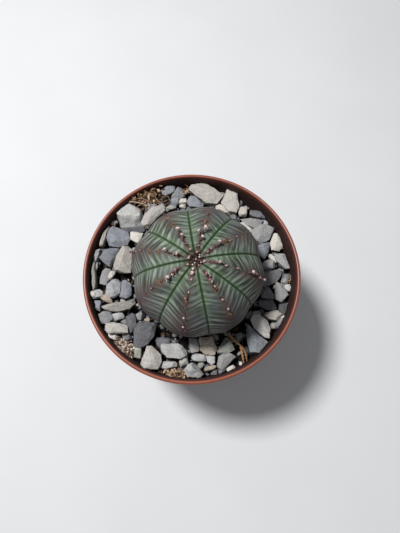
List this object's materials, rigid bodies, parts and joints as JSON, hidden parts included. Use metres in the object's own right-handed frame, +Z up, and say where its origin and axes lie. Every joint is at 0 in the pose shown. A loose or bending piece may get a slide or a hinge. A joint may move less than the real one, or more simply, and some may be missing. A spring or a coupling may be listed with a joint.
{
  "type": "potted euphorbia",
  "caption": "Round ribbed succulent globe with dried flowers along its ribs, in a small terracotta-coloured plastic nursery pot dressed with broken stone.",
  "frame": {"origin": "on the pot's axis, at the bottom of its foot ring", "axes": "+Z up along the pot's axis; +X and +Y are across the rim, with the crown leaning slightly towards -Y"},
  "size_m": [0.085, 0.085, 0.0936],
  "materials": {
    "terracotta_plastic": "satin",
    "potting_mix": "matte",
    "stem_skin": "matte",
    "flower_buds": "matte",
    "dry_flower": "matte",
    "bark_litter": "matte",
    "grit": "matte",
    "dry_root": "matte",
    "stone_cream": "matte",
    "stone_slate": "matte",
    "stone_pale_grey": "matte",
    "stone_blue_grey": "matte",
    "stone_mid_grey": "matte",
    "stone_white": "matte",
    "stone_green_grey": "matte",
    "stone_beige": "matte"
  },
  "bodies": {
    "root": {"pot": "terracotta_plastic", "soil": "potting_mix", "stem": "stem_skin", "crown_buds": "flower_buds", "flower_1": "dry_flower", "flower_2": "dry_flower", "flower_3": "dry_flower", "flower_4": "dry_flower", "flower_5": "dry_flower", "flower_6": "dry_flower", "flower_7": "dry_flower", "flower_8": "dry_flower", "gravel_01": "stone_cream", "gravel_02": "stone_cream", "gravel_03": "stone_slate", "gravel_04": "stone_slate", "gravel_05": "stone_pale_grey", "gravel_06": "stone_cream", "gravel_07": "stone_blue_grey", "gravel_08": "stone_pale_grey", "gravel_09": "stone_mid_grey", "gravel_10": "stone_blue_grey", "gravel_11": "stone_blue_grey", "gravel_12": "stone_mid_grey", "gravel_13": "stone_white", "gravel_14": "stone_pale_grey", "gravel_15": "stone_slate", "gravel_16": "stone_cream", "gravel_17": "stone_blue_grey", "gravel_18": "stone_cream", "gravel_19": "stone_cream", "gravel_20": "stone_blue_grey", "gravel_21": "stone_pale_grey", "gravel_22": "stone_slate", "gravel_23": "stone_green_grey", "gravel_24": "stone_blue_grey", "gravel_25": "stone_blue_grey", "gravel_26": "stone_cream", "gravel_27": "stone_mid_grey", "gravel_28": "stone_slate", "gravel_29": "stone_white", "gravel_30": "stone_slate", "gravel_31": "stone_white", "gravel_32": "stone_pale_grey", "gravel_33": "stone_blue_grey", "gravel_34": "stone_slate", "gravel_35": "stone_beige", "gravel_36": "stone_green_grey", "gravel_37": "stone_slate", "gravel_38": "stone_pale_grey", "gravel_39": "stone_blue_grey", "gravel_40": "stone_pale_grey", "gravel_41": "stone_cream", "gravel_42": "stone_mid_grey", "gravel_43": "stone_slate", "gravel_44": "stone_pale_grey", "gravel_45": "stone_slate", "bark_litter": "bark_litter", "grit_patch": "grit", "dried_root": "dry_root"}
  },
  "joints": []
}
